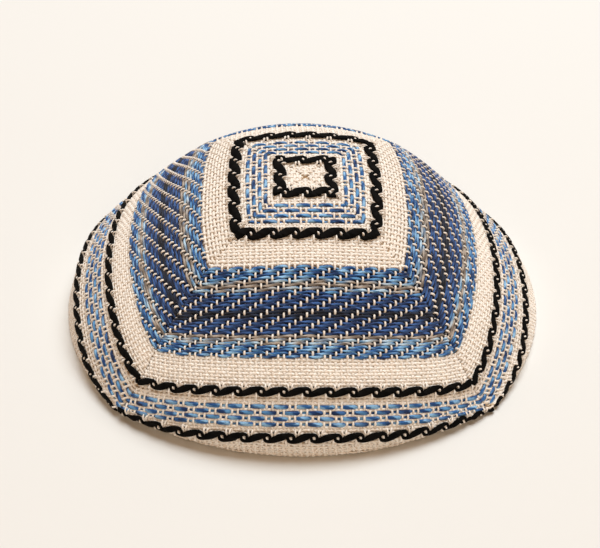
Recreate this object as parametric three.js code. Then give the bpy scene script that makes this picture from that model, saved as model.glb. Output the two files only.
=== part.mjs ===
// A woven cotton skullcap of the four-gore kind, resting on its rim.
//
// Four triangular gores are cut from striped cloth, so that their stripes run parallel to the rim,
// and are sewn to each other along four seams that climb from the rim to the crown. Each gore is
// one solid: a cloth wall with its two seam allowances pressed open on the inside, and a hem turned
// under at the rim. The cap keeps its own form, with the crown leaning a little to the front (-Y).
//
// Millimetres, +Z up, front gore towards -Y. The origin is under the middle of the cap's box.

import * as THREE from 'three';

// Driving dimensions
const RIM_WIDTH = 166; // across the rim, from the middle of one side gore to the other
const CROWN_HEIGHT = 56; // top of the crown above the surface that the cap rests on
const CLOTH = 2.0; // thickness of the woven cloth
const HEM_TURN = 1.0; // what the turned-under hem adds to the wall, on the inside
const HEM_DEPTH = 10; // how far the hem reaches up the inside of the wall
const ALLOWANCE_TURN = 0.9; // what a pressed seam allowance adds to the wall, on the inside
const ALLOWANCE_WIDTH = 6.5; // from the seam to the allowance's cut edge
const CUT_EDGE_RUN = 1.0; // width of the small slope at a hem's or an allowance's cut edge
const RIM_ROUNDING = 0.9; // the folded rim's rounding, which leaves a flat foot to rest on
const SEAM_GAP = 0.3; // clear space between two sewn gores

// Sections of the cap, from the crown to the rim, along the woven stripes. Reaches are from the
// cap's axis, as shares of half the rim's width, in the middle of a gore and at its seams. Levels
// are shares of the crown's height. slideX and slideY move a section, as shares of half the rim's
// width, and leanX and leanY are how much it rises for each millimetre towards +X and +Y.
const SECTIONS = [
  { at: 'crown point', midReach: 0, midLevel: 1, seamReach: 0, seamLevel: 1,
    slideX: 0.014, slideY: -0.007, leanX: 0, leanY: 0.12 },
  { at: 'first black cord', midReach: 0.103, midLevel: 0.998, seamReach: 0.151, seamLevel: 1.002,
    slideX: 0.014, slideY: -0.007, leanX: 0, leanY: 0.13 },
  { at: 'second black cord', midReach: 0.274, midLevel: 0.953, seamReach: 0.366, seamLevel: 0.924,
    slideX: 0.013, slideY: -0.001, leanX: -0.02, leanY: 0.18 },
  { at: 'top of the blue band', midReach: 0.408, midLevel: 0.876, seamReach: 0.519, seamLevel: 0.809,
    slideX: 0.01, slideY: 0.014, leanX: -0.02, leanY: 0.155 },
  { at: 'middle of the blue band', midReach: 0.571, midLevel: 0.725, seamReach: 0.682, seamLevel: 0.607,
    slideX: 0.008, slideY: 0.026, leanX: -0.02, leanY: 0.12 },
  { at: 'foot of the blue band', midReach: 0.7, midLevel: 0.572, seamReach: 0.802, seamLevel: 0.434,
    slideX: 0.007, slideY: 0.027, leanX: -0.03, leanY: 0.1 },
  { at: 'third black cord', midReach: 0.79, midLevel: 0.449, seamReach: 0.887, seamLevel: 0.297,
    slideX: 0.006, slideY: 0.022, leanX: -0.03, leanY: 0.095 },
  { at: 'fourth black cord', midReach: 0.937, midLevel: 0.222, seamReach: 0.997, seamLevel: 0.087,
    slideX: 0, slideY: 0.066, leanX: -0.02, leanY: 0.06 },
  { at: 'rim', midReach: 1, midLevel: 0, seamReach: 1.029, seamLevel: 0,
    slideX: 0.005, slideY: 0.123, leanX: 0, leanY: 0 },
];

// Gores, by the turn of each about the cap's axis, counter-clockwise seen from above
const GORES = [
  { name: 'front_gore', turn: 0 },
  { name: 'right_gore', turn: Math.PI / 2 },
  { name: 'back_gore', turn: Math.PI },
  { name: 'left_gore', turn: -Math.PI / 2 },
];

// Fineness of the mesh
const ROWS = 19; // rows of faces between the crown and the top of the hem
const MIDDLE_COLUMNS = 10; // columns of faces between a gore's two seam allowances
const WALK_STEPS = 240; // samples of one walk from the rim to the crown

const HALF_WIDTH = RIM_WIDTH / 2;
const LAST = SECTIONS.length - 1;

// Smooth value of one column of the table, at a place between 0 (crown point) and LAST (rim)
function smooth(column, place) {
  const left = Math.min(Math.floor(place), LAST - 1);
  const share = place - left;
  const value = (index) => {
    if (index < 0) return 2 * SECTIONS[0][column] - SECTIONS[1][column];
    if (index > LAST) return 2 * SECTIONS[LAST][column] - SECTIONS[LAST - 1][column];
    return SECTIONS[index][column];
  };
  const [before, start, end, after] = [-1, 0, 1, 2].map((step) => value(left + step));
  const slopeIn = (end - before) / 2;
  const slopeOut = (after - start) / 2;
  const bend = 2 * start - 2 * end + slopeIn + slopeOut;
  const rise = 3 * end - 3 * start - 2 * slopeIn - slopeOut;
  return ((bend * share + rise) * share + slopeIn) * share + start;
}

// Point of a profile in its own upright plane: x is the reach and y the level, in millimetres
function profilePoint(which, place) {
  const reach = smooth(`${which}Reach`, place) * HALF_WIDTH;
  const level = smooth(`${which}Level`, place) * CROWN_HEIGHT;
  return new THREE.Vector2(reach, level);
}

// The same point moved inwards, square to the profile, by a depth
function insetPoint(which, place, depth) {
  const step = 0.02;
  const ahead = profilePoint(which, Math.min(place + step, LAST));
  const behind = profilePoint(which, Math.max(place - step, 0));
  const along = ahead.sub(behind).normalize();
  const inwards = new THREE.Vector2(along.y, -along.x);
  const point = profilePoint(which, place).addScaledVector(inwards, depth);
  point.x = place === 0 ? 0 : Math.max(point.x, 0);
  return point;
}

// Point of a stripe in a gore's own plan: an arc through seam, middle and seam. across runs from
// -1 at one seam to 1 at the other. x is sideways and y is away from the cap's axis.
function stripePlan(midReach, seamReach, across) {
  const corner = seamReach / Math.SQRT2;
  const rise = midReach - corner;
  if (Math.abs(rise) < 1e-6) return new THREE.Vector2(across * corner, midReach);
  const radius = (corner * corner + rise * rise) / (2 * rise);
  const half = Math.atan2(corner, radius - rise);
  const angle = radius > 0 ? across * half : across * Math.atan2(corner, rise - radius);
  const size = Math.abs(radius);
  const centre = midReach - radius;
  return new THREE.Vector2(size * Math.sin(angle), centre + Math.sign(radius) * size * Math.cos(angle));
}

// Point of a gore's surface, a depth below its outer face, before the gore is turned into place
function gorePoint(place, across, depth) {
  const middle = insetPoint('mid', place, depth);
  const seam = insetPoint('seam', place, depth);
  const plan = stripePlan(middle.x, seam.x, across);
  const level = middle.y + (seam.y - middle.y) * across * across;
  return new THREE.Vector3(plan.x, -plan.y - SEAM_GAP / Math.SQRT2, level);
}

// The gore's point in the cap: turned about the axis, then slid and leaned with its section
function capPoint(point, turn, place) {
  const turned = point.clone().applyAxisAngle(new THREE.Vector3(0, 0, 1), turn);
  turned.z += smooth('leanX', place) * turned.x + smooth('leanY', place) * turned.y;
  turned.x += smooth('slideX', place) * HALF_WIDTH;
  turned.y += smooth('slideY', place) * HALF_WIDTH;
  return turned;
}

// Places along one column of a gore, from the crown point to the rim, with rows at the hem's edge
function columnPlaces(across, turn) {
  const places = Array.from({ length: WALK_STEPS + 1 }, (_, i) => (LAST * (WALK_STEPS - i)) / WALK_STEPS);
  const points = places.map((place) => capPoint(gorePoint(place, across, 0), turn, place));
  const walked = [0];
  for (let i = 1; i < points.length; i += 1) walked.push(walked[i - 1] + points[i].distanceTo(points[i - 1]));
  const total = walked[WALK_STEPS];
  const hemRows = [RIM_ROUNDING, HEM_DEPTH / 2, HEM_DEPTH, HEM_DEPTH + CUT_EDGE_RUN];
  const start = HEM_DEPTH + CUT_EDGE_RUN;
  const upperRows = Array.from({ length: ROWS }, (_, i) => start + ((total - start) * (i + 1)) / ROWS);
  const wanted = [...hemRows, ...upperRows];
  const found = wanted.map((distance) => {
    const after = Math.min(Math.max(walked.findIndex((value) => value >= distance - 1e-9), 1), WALK_STEPS);
    const share = (distance - walked[after - 1]) / (walked[after] - walked[after - 1]);
    return { place: THREE.MathUtils.lerp(places[after - 1], places[after], Math.min(share, 1)), distance };
  });
  found[found.length - 1].place = 0;
  return found.reverse();
}

// Ramp from 1 inside an edge to 0 past its small slope
function folded(distance, edge) {
  return THREE.MathUtils.clamp((edge + CUT_EDGE_RUN - distance) / CUT_EDGE_RUN, 0, 1);
}

// Columns of a gore: places from -1 to 1, with one at each edge of the seam allowances
function columns() {
  const corner = (SECTIONS[LAST].seamReach * HALF_WIDTH) / Math.SQRT2;
  const edge = ALLOWANCE_WIDTH / corner;
  const run = CUT_EDGE_RUN / corner;
  const side = [1, 1 - edge / 2, 1 - edge, 1 - edge - run];
  const middle = Array.from({ length: MIDDLE_COLUMNS - 1 }, (_, i) => {
    return side[3] * (1 - (2 * (i + 1)) / MIDDLE_COLUMNS);
  });
  return [...side.map((value) => -value), ...middle.map((value) => -value), ...side.reverse()];
}

// Wall thickness at a distance from the rim and from the nearer seam
function wall(fromRim, fromSeam) {
  const hem = HEM_TURN * folded(fromRim, HEM_DEPTH);
  const allowance = ALLOWANCE_TURN * folded(fromSeam, ALLOWANCE_WIDTH);
  return CLOTH + Math.max(hem, allowance);
}

// Both faces of the wall stay above the rounding of the folded rim
function aboveFoot(point) {
  return point.setZ(Math.max(point.z, RIM_ROUNDING));
}

// The closed mesh of one gore. Its rows run from the crown down the outer face, across the flat
// foot of the rim, and back up the inner face.
function goreGeometry(turn) {
  const acrosses = columns();
  const rimCorner = (SECTIONS[LAST].seamReach * HALF_WIDTH) / Math.SQRT2;
  const strips = acrosses.map((across) => {
    const rows = columnPlaces(across, turn);
    const fromSeam = (1 - Math.abs(across)) * rimCorner;
    const at = (place, depth) => capPoint(gorePoint(place, across, depth), turn, place);
    const onFloor = (depth) => at(LAST, depth).setZ(0);
    const outer = rows.map((row) => aboveFoot(at(row.place, 0)));
    const inner = rows.map((row) => aboveFoot(at(row.place, wall(row.distance, fromSeam))));
    const rimWall = wall(0, fromSeam);
    return {
      outer: [...outer, onFloor(RIM_ROUNDING)],
      inner: [...inner, onFloor(rimWall - RIM_ROUNDING)],
    };
  });

  const vertices = [];
  const triangles = [];
  const add = (point) => vertices.push(point) - 1;
  const rowCount = strips[0].outer.length;
  const face = (side) => {
    const peak = add(strips[0][side][0]);
    return strips.map((strip) => strip[side].map((point, row) => (row === 0 ? peak : add(point))));
  };
  const outer = face('outer');
  const inner = face('inner');
  const quad = (a, b, c, d) => {
    if (a !== b) triangles.push(a, b, c);
    if (c !== d && a !== d) triangles.push(a, c, d);
  };
  for (let column = 0; column + 1 < acrosses.length; column += 1) {
    for (let row = 0; row + 1 < rowCount; row += 1) {
      quad(outer[column][row], outer[column][row + 1], outer[column + 1][row + 1], outer[column + 1][row]);
      quad(inner[column + 1][row], inner[column + 1][row + 1], inner[column][row + 1], inner[column][row]);
    }
    const foot = rowCount - 1;
    quad(outer[column][foot], inner[column][foot], inner[column + 1][foot], outer[column + 1][foot]);
  }
  const last = acrosses.length - 1;
  for (let row = 0; row + 1 < rowCount; row += 1) {
    quad(inner[0][row], inner[0][row + 1], outer[0][row + 1], outer[0][row]);
    quad(inner[last][row], outer[last][row], outer[last][row + 1], inner[last][row + 1]);
  }

  const geometry = new THREE.BufferGeometry();
  const positions = vertices.flatMap((vertex) => [vertex.x, vertex.y, vertex.z]);
  geometry.setAttribute('position', new THREE.Float32BufferAttribute(positions, 3));
  geometry.setIndex(triangles);
  geometry.computeVertexNormals();
  return geometry;
}

// One named mesh for each gore, in undyed cotton with its stripes' mean blue where they dominate
function gore({ name, turn }) {
  const cotton = new THREE.MeshStandardMaterial({ color: 0xb9b7b8, roughness: 0.95, metalness: 0 });
  const mesh = new THREE.Mesh(goreGeometry(turn), cotton);
  mesh.name = name;
  return mesh;
}

const cap = new THREE.Group();
cap.add(...GORES.map(gore));

// The origin goes under the middle of the cap's box
const box = new THREE.Box3().setFromObject(cap);
const middle = box.getCenter(new THREE.Vector3());
cap.position.set(-middle.x, -middle.y, 0);

export default cap;
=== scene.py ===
"""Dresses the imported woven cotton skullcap: every yarn of its four gores, its hem and its seams.

The cloth is woven here yarn by yarn. Each gore has its own warps and wefts, laid over a copy of the
form in the part's source, so that the stripes, the brick rows, the twill and the black cords follow
the cap. Lengths are in millimetres until a mesh is made, which is in metres.
"""

import logging
import math
from dataclasses import dataclass, field
from enum import Enum

import bpy
import numpy as np
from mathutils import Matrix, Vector


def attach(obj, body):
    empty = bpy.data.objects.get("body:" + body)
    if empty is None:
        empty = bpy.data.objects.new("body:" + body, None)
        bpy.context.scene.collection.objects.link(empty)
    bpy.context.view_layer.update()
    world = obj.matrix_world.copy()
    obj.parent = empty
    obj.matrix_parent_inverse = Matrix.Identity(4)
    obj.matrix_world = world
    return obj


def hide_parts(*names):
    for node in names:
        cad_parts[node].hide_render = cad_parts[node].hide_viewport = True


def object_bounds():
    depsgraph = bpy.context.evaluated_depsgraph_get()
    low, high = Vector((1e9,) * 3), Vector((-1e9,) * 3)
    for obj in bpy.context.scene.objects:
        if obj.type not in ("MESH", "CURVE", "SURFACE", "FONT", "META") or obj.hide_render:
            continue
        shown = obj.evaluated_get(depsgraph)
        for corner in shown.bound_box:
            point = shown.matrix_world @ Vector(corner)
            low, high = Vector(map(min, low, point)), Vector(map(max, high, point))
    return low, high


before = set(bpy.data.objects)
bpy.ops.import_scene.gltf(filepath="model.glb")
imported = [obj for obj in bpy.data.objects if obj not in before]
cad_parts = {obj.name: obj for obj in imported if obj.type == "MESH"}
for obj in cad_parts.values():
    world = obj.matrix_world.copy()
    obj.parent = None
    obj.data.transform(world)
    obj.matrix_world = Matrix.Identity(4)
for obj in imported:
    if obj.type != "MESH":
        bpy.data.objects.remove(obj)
CAD_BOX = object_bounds()

LOG = logging.getLogger("skullcap")
MILLIMETRE = 0.001

Array = np.ndarray

# The form, as in the part's source. Columns: midReach, midLevel, seamReach, seamLevel, slideX,
# slideY, leanX, leanY. Reaches and slides are shares of half the rim's width, levels are shares of
# the crown's height, and leans are the rise for each millimetre towards +X and +Y.
SECTIONS = np.array(
    [
        [0.000, 1.000, 0.000, 1.000, 0.014, -0.007, 0.00, 0.120],
        [0.103, 0.998, 0.151, 1.002, 0.014, -0.007, 0.00, 0.130],
        [0.274, 0.953, 0.366, 0.924, 0.013, -0.001, -0.02, 0.180],
        [0.408, 0.876, 0.519, 0.809, 0.010, 0.014, -0.02, 0.155],
        [0.571, 0.725, 0.682, 0.607, 0.008, 0.026, -0.02, 0.120],
        [0.700, 0.572, 0.802, 0.434, 0.007, 0.027, -0.03, 0.100],
        [0.790, 0.449, 0.887, 0.297, 0.006, 0.022, -0.03, 0.095],
        [0.937, 0.222, 0.997, 0.087, 0.000, 0.066, -0.02, 0.060],
        [1.000, 0.000, 1.029, 0.000, 0.005, 0.123, 0.00, 0.000],
    ]
)
LAST = len(SECTIONS) - 1
RIM_WIDTH_OF_BOX = 166.0 / 165.78  # the rim's nominal width as a share of the cap's box
CROWN_HEIGHT_OF_BOX = 56.0 / 57.56  # the crown's nominal height as a share of the cap's box
SEAM_GAP = 0.3
CLOTH_MIDDLE = 0.85  # depth of the woven cloth's middle below the outer face
HEM_FOLD = 0.74  # radius of the turned rim, to the cloth's middle
RIM_LIFT = 1.55  # height of the cloth's middle where the rim's fold starts
LIFT_REACH = 6.0  # height over which the cloth eases up to that
HEM_PLACE = 7.04  # foot of the outer black cord. Past it, rows are laid by distance
PLACE_TO_MM = 10.0  # past that place, one unit of the row scale is this many millimetres
ALLOWANCE_WIDTH = 6.5  # width of a seam allowance
HEM_DEPTH = 9.6  # cloth that is turned up inside the rim
WARP_PITCH = 1.775
WEFT_STEP = 0.114  # from one weft to the next on the row scale
REPEAT = 4 * WARP_PITCH  # every pattern repeats after four warps
LONGEST_YARN = (-90, 130)  # positions along a yarn that its wander is laid out for
YARN_SIDES = 5
CORD_SIDES = 8

# A warp's half sizes, and how far it rises over and dips under the wefts, in millimetres
WARP_HALF_WIDTH = 0.50
WARP_HALF_HEIGHT = 0.29
WARP_PEAK = 0.28
WARP_DIP = -0.24
TICK_HALF_WIDTH = 0.38  # where it crosses a dyed weft, as a pale tick
NECK_HALF_WIDTH = 0.34  # between two dyed wefts
TICK_PEAK = 0.66
TICK_DIP = -0.42
PEAK_UNDER_CORD = 0.20
WARP_SAMPLE = 0.9  # about how far a warp's points lie apart

# A weft's width as a share of its own, half way down, and how much it widens on top
WEFT_HALF_WAY = 0.90
WEFT_WIDENING = 0.14
DIP_TIGHTNESS = 1.5  # above 1, a weft dips late and steeply under a raised warp

# A float of the twill: its width at the ends, how much its belly adds, and how far it leans
FLOAT_ENDS = 0.74
FLOAT_BELLY = 0.34
FLOAT_LEAN = 0.20

# The sheet of packed cotton between the yarns, and its colours: tan and dark navy painted shade in the
# gaps, and the inside's own tone
SHEET_TOP = -0.24
SHEET_BOTTOM = -0.50
# Tan painted shade, seen in the gaps between the cream yarns
GAP_SHADE_TONE = "#f1dabc"
# Dark navy painted shade, seen in the gaps between the blue floats
NAVY_GAP_SHADE_TONE = "#16223f"
INSIDE_TONE = "#f0dfca"
# Where the dark navy painted shade starts and ends
NAVY_GAP_SHADE_START, NAVY_GAP_SHADE_END = 2.98, 4.98  # under the blue band, on the row scale
SEAM_OVERLAP = 0.12  # how far the sheet passes the gore's own edge
SEAM_ROLL_DEPTH = 0.35  # how far the cloth rolls down into the seam
SEAM_ROLL_REACH = 0.6

# The hem's layer inside the rim: it thickens and draws back from the seam as it turns in
HEM_THICKENS_OVER = 3.0
HEM_TOP_RISE = 0.54
HEM_BOTTOM_DROP = 0.10
HEM_MITRE = 2.4
HEM_INSIDE_FROM = 2.6  # past the rim, where the inside's tone starts
RIM_HALF_STRIPE = 60  # about half a stripe's length near the rim, to find places by

# The seam allowances: their ends on the row scale, and the levels of their faces
ALLOWANCE_START, ALLOWANCE_END = 0.45, 6.25
ALLOWANCE_OF_HALF = 0.8  # near the crown, an allowance is at most this share of half a stripe
ALLOWANCE_TOP = -0.75
ALLOWANCE_BOTTOM = -1.55
ALLOWANCE_CROWNING = 0.12

# Sizes of the cotton's patterns, in millimetres. Real fibres are finer and wouldn't show
FIBRE_CLUMP = 1 / 4.2
FIBRE_TUFT = 1 / 1.5
STREAK_LENGTH = 1 / 0.45
STREAKS_ROUND = 7.0  # streaks in one turn round a yarn
PLY_RELIEF = 0.18
WEAVE_RELIEF = 0.4

# How far stripes lie below the sections' lines, in places: one row for each place, one column for
# each share across. Near the seams they sag, until the outer cord runs on the rim's own edge.
SAG_ACROSS = np.array([0.00, 0.25, 0.45, 0.65, 0.75, 0.85, 1.00])
SAG_PLACES = np.array([2.200, 2.960, 5.000, 5.954, 6.222, 6.612, 6.895, HEM_PLACE])
SAG = np.array(
    [
        [0.00, 0.00, 0.00, 0.00, 0.00, 0.00, 0.00],
        [0.01, 0.02, 0.05, 0.05, 0.06, 0.06, 0.06],
        [0.00, 0.02, 0.04, 0.06, 0.08, 0.08, 0.03],
        [0.00, 0.02, 0.06, 0.10, 0.12, 0.12, 0.06],
        [0.03, 0.05, 0.08, 0.13, 0.15, 0.17, 0.16],
        [0.04, 0.07, 0.11, 0.18, 0.22, 0.27, 0.38],
        [0.03, 0.07, 0.16, 0.34, 0.43, 0.52, 0.62],
        [0.03, 0.07, 0.18, 0.42, 0.56, 0.72, 0.88],
    ]
)


def srgb(code: str) -> Array:
    """Turns an sRGB hex colour into linear red, green and blue.

    Args:
        code: six hex digits after a hash sign.

    Returns:
        Three linear values from 0 to 1.
    """
    values = np.array([int(code[i : i + 2], 16) / 255 for i in (1, 3, 5)])
    return np.where(values <= 0.04045, values / 12.92, ((values + 0.055) / 1.055) ** 2.4)


def rgba(code: str) -> tuple[float, float, float, float]:
    """Turns an sRGB hex colour into a linear colour for a shader's socket.

    Args:
        code: six hex digits after a hash sign.

    Returns:
        Linear red, green and blue, and one.
    """
    red, green, blue = srgb(code)
    return (float(red), float(green), float(blue), 1.0)


def smooth_table(table: Array, place: Array) -> Array:
    """Reads smooth values between the rows of a table.

    Args:
        table: one column of values, one for each whole place.
        place: places from 0 to the last row.

    Returns:
        The values at those places.
    """
    left = np.clip(np.floor(place), 0, len(table) - 2).astype(int)
    share = place - left
    ends = np.concatenate([[2 * table[0] - table[1]], table, [2 * table[-1] - table[-2]]])
    before, start, end, after = (ends[left + step] for step in range(4))
    slope_in = (end - before) / 2
    slope_out = (after - start) / 2
    bend = 2 * start - 2 * end + slope_in + slope_out
    rise = 3 * end - 3 * start - 2 * slope_in - slope_out
    return ((bend * share + rise) * share + slope_in) * share + start


def smooth_path(points: Array, count: int) -> Array:
    """Samples a smooth line through points, one column for each value.

    Args:
        points: rows of values to pass through.
        count: how many samples to take.

    Returns:
        The samples, with as many columns as the points.
    """
    place = np.linspace(0, len(points) - 1, count)
    return np.stack([smooth_table(points[:, column], place) for column in range(points.shape[1])], 1)


def sag(place: Array, across: Array) -> Array:
    """Reads how far a stripe sags towards the rim.

    Args:
        place: places on the sections' scale.
        across: shares across, from -1 at one seam to 1 at the other.

    Returns:
        The sag in places.
    """
    columns = []
    line = np.clip(np.searchsorted(SAG_PLACES, place) - 1, 0, len(SAG_PLACES) - 2)
    down = np.clip((place - SAG_PLACES[line]) / (SAG_PLACES[line + 1] - SAG_PLACES[line]), 0, 1)
    for step in (0, 1):
        column = np.clip(np.searchsorted(SAG_ACROSS, np.abs(across)) - 1, 0, len(SAG_ACROSS) - 2)
        width = SAG_ACROSS[column + 1] - SAG_ACROSS[column]
        wide = np.clip((np.abs(across) - SAG_ACROSS[column]) / width, 0, 1)
        near, far = SAG[line + step, column], SAG[line + step, column + 1]
        columns.append(near + (far - near) * wide)
    return columns[0] + (columns[1] - columns[0]) * down


def unit(vectors: Array) -> Array:
    """Scales each vector to length one.

    Args:
        vectors: vectors along the last axis.

    Returns:
        The scaled vectors.
    """
    return vectors / np.maximum(np.linalg.norm(vectors, axis=-1, keepdims=True), 1e-9)


@dataclass
class GoreForm:
    """The surface of one gore, from the crown (row scale 0) down over the rim and up inside it."""

    turn: float
    half_width: float
    crown_height: float
    shift: Array
    width_places: Array = field(init=False)
    widths: Array = field(init=False)
    skirt_across: Array = field(init=False)
    skirts: Array = field(init=False)
    depths: Array = field(init=False)

    def __post_init__(self) -> None:
        """Measures half the stripes' lengths, and the skirt from the last cord to the rim."""
        self.width_places = np.linspace(0, LAST, 321)
        across = np.linspace(0, 1, 33)
        places = self.width_places[:, None]
        grid = self.outer_face(places + 0 * across, across + 0 * places)
        self.widths = np.linalg.norm(np.diff(grid, axis=1), axis=-1).sum(1)
        self.skirt_across = np.linspace(-1, 1, 81)
        share = np.linspace(0, 1, 25)[:, None]
        foot = HEM_PLACE + sag(HEM_PLACE + 0 * self.skirt_across, self.skirt_across)
        lengths = []
        for start in (foot, HEM_PLACE + 0 * foot):
            grid = self.outer_face(start + (LAST - start) * share, self.skirt_across + 0 * share)
            lengths.append(np.linalg.norm(np.diff(grid, axis=0), axis=-1).sum(0))
        self.skirts, self.depths = lengths

    def outer_face(self, place: Array, across: Array) -> Array:
        """Gives points of the cap's outer face.

        Args:
            place: places from 0 at the crown to the last section at the rim.
            across: from -1 at one seam to 1 at the other.

        Returns:
            Points in millimetres, in the row frame.
        """
        mid_reach, mid_level, seam_reach, seam_level, slide_x, slide_y, lean_x, lean_y = (
            smooth_table(SECTIONS[:, column], place) for column in range(8)
        )
        corner = seam_reach * self.half_width / math.sqrt(2)
        rise = mid_reach * self.half_width - corner
        rise = np.where(np.abs(rise) < 1e-6, 1e-6, rise)
        radius = (corner**2 + rise**2) / (2 * rise)
        size = np.abs(radius)
        angle = across * np.arctan2(corner, size - np.abs(rise))
        side = size * np.sin(angle)
        out = mid_reach * self.half_width - radius + np.sign(radius) * size * np.cos(angle)
        level = (mid_level + (seam_level - mid_level) * across**2) * self.crown_height
        back = -out - SEAM_GAP / math.sqrt(2)
        cos, sin = math.cos(self.turn), math.sin(self.turn)
        x = side * cos - back * sin
        y = side * sin + back * cos
        z = level + lean_x * x + lean_y * y
        x = x + slide_x * self.half_width
        y = y + slide_y * self.half_width
        return np.stack([x, y, z], -1) + self.shift

    def middle(self, place: Array, across: Array) -> tuple[Array, Array, Array]:
        """Gives points of the cloth's middle, with its outward and upward directions.

        Args:
            place: places from 0 at the crown to the last section at the rim.
            across: from -1 at one seam to 1 at the other.

        Returns:
            Points, outward directions and upward directions.
        """
        step = 0.01
        place = np.clip(place, 0.02, LAST)
        at_rim = np.clip((place - HEM_PLACE) / (LAST - HEM_PLACE), 0, 1)[..., None]
        inner = np.minimum(place + step, LAST)
        down = self.outer_face(inner, across) - self.outer_face(inner - 2 * step, across)
        side = self.outer_face(place, across + step) - self.outer_face(place, across - step)
        outward = unit(np.cross(down, side))
        # At the rim the cloth stands nearly upright, also where the form's foot is flat.
        slope = np.clip(outward[..., 2:], 0, 0.35)
        level = unit(np.cross([0.0, 0.0, -1.0], side))
        upright = level * np.sqrt(1 - slope**2) + slope * np.array([0.0, 0.0, 1.0])
        outward = unit(outward * (1 - at_rim) + upright * at_rim)
        points = self.outer_face(place, across) - outward * CLOTH_MIDDLE
        low = points[..., 2] < LIFT_REACH
        eased = RIM_LIFT + points[..., 2] * (LIFT_REACH - RIM_LIFT) / LIFT_REACH
        points[..., 2] = np.where(low, eased, points[..., 2])
        return points, outward, unit(np.cross(outward, side))

    def half_length(self, place: Array) -> Array:
        """Gives half the length of a stripe, from the gore's middle to its seam.

        Args:
            place: places on the sections' scale.

        Returns:
            Millimetres.
        """
        return np.interp(place, self.width_places, self.widths)

    def reach(self, row: float) -> float:
        """Gives how far a stripe runs from the gore's middle before it meets the seam.

        Args:
            row: the stripe's position on the row scale.

        Returns:
            Millimetres, with the sag near the seam counted in.
        """
        at_seam = row + sag(np.array([row]), np.ones(1))
        return float(self.half_length(np.minimum(at_seam, LAST))[0])

    def placed(self, along: Array, row: Array) -> tuple[Array, Array, Array]:
        """Turns cloth positions into places on the form.

        Args:
            along: millimetres along the stripe, from the gore's middle.
            row: positions on the row scale.

        Returns:
            Places, shares across, and millimetres past the rim.
        """
        past_cord = np.maximum(row - HEM_PLACE, 0) * PLACE_TO_MM
        level = np.minimum(row, HEM_PLACE)
        start = level + sag(level, along / self.half_length(level))
        across = along / self.half_length(start)
        start = level + sag(level, across)
        skirt = np.interp(across, self.skirt_across, self.skirts)
        depth = np.interp(across, self.skirt_across, self.depths)
        place = start + (LAST - start) * np.minimum(past_cord / skirt, 1)
        past_rim = np.maximum(past_cord - skirt, 0)
        back = np.maximum(past_rim - math.pi * HEM_FOLD, 0)
        place = np.where(back > 0, LAST - (LAST - HEM_PLACE) * np.minimum(back / depth, 1.5), place)
        return place, along / self.half_length(place), past_rim

    def locate(self, along: Array, row: Array, lift: Array) -> tuple[Array, Array]:
        """Gives points of the woven cloth, over the rim's fold and up the inside of the hem.

        Args:
            along: millimetres along the stripe, from the gore's middle.
            row: positions on the row scale.
            lift: millimetres above the cloth's middle.

        Returns:
            Points, and the cloth's outward directions there.
        """
        place, across, past_rim = self.placed(along, row)
        points, outward, upward = self.middle(place, across)
        angle = np.minimum(past_rim / HEM_FOLD, math.pi)[..., None]
        turned = outward * np.cos(angle) - upward * np.sin(angle)
        points = points - outward * HEM_FOLD + turned * HEM_FOLD
        to_seam = self.half_length(place) - np.abs(along)
        rolled = SEAM_ROLL_DEPTH * np.exp(-np.square(np.maximum(to_seam, 0) / SEAM_ROLL_REACH))
        return points + turned * (lift - rolled)[..., None], turned

    def row_step(self, along: Array, row: Array) -> Array:
        """Gives how much of the row scale one millimetre towards the crown takes up.

        Args:
            along: millimetres along the stripe.
            row: positions on the row scale.

        Returns:
            Steps on the row scale.
        """
        step = 0.02
        above, _ = self.locate(along, row - step, 0 * along)
        below, _ = self.locate(along, row + step, 0 * along)
        return 2 * step / np.maximum(np.linalg.norm(above - below, axis=-1), 1e-6)


@dataclass
class RiseTable:
    """Rows that lie some millimetres towards the crown from one stripe, all along it."""

    form: GoreForm
    place: float
    reach: float = field(init=False)
    along: Array = field(init=False)
    rises: Array = field(init=False)
    rows: Array = field(init=False)

    def __post_init__(self) -> None:
        """Walks over the cloth to both sides of the stripe."""
        self.reach = self.form.reach(self.place)
        self.along = np.linspace(0.5 - self.reach, self.reach - 0.5, 81)
        self.rises = np.linspace(-3.5, 3.5, 36)
        rows = np.linspace(self.place - 0.75, self.place + 0.45, 121)
        along, row = np.meshgrid(self.along, rows)
        points, _ = self.form.locate(along, row, 0 * row)
        steps = np.linalg.norm(np.diff(points, axis=0), axis=-1)
        walked = np.concatenate([np.zeros((1, steps.shape[1])), steps.cumsum(0)])
        columns = []
        for column in walked.T:
            rise = np.interp(self.place, rows, column) - column
            columns.append(np.interp(self.rises, rise[::-1], rows[::-1]))
        self.rows = np.stack(columns, 1)

    def row(self, along: Array, rise: Array) -> Array:
        """Reads the rows at some positions.

        Args:
            along: millimetres along the stripe.
            rise: millimetres towards the crown.

        Returns:
            Positions on the row scale.
        """
        line = np.interp(rise, self.rises, np.arange(len(self.rises)))
        column = np.interp(along, self.along, np.arange(len(self.along)))
        top = np.minimum(line.astype(int), len(self.rises) - 2)
        left = np.minimum(column.astype(int), len(self.along) - 2)
        down, wide = line - top, column - left
        upper = self.rows[top, left] * (1 - wide) + self.rows[top, left + 1] * wide
        lower = self.rows[top + 1, left] * (1 - wide) + self.rows[top + 1, left + 1] * wide
        return upper * (1 - down) + lower * down


@dataclass
class Run:
    """One yarn's centre line on the cloth, with its thickness and the colours of its two plies."""

    along: Array
    row: Array
    lift: Array
    half_width: Array
    half_height: Array
    tone: Array
    ply: Array


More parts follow.
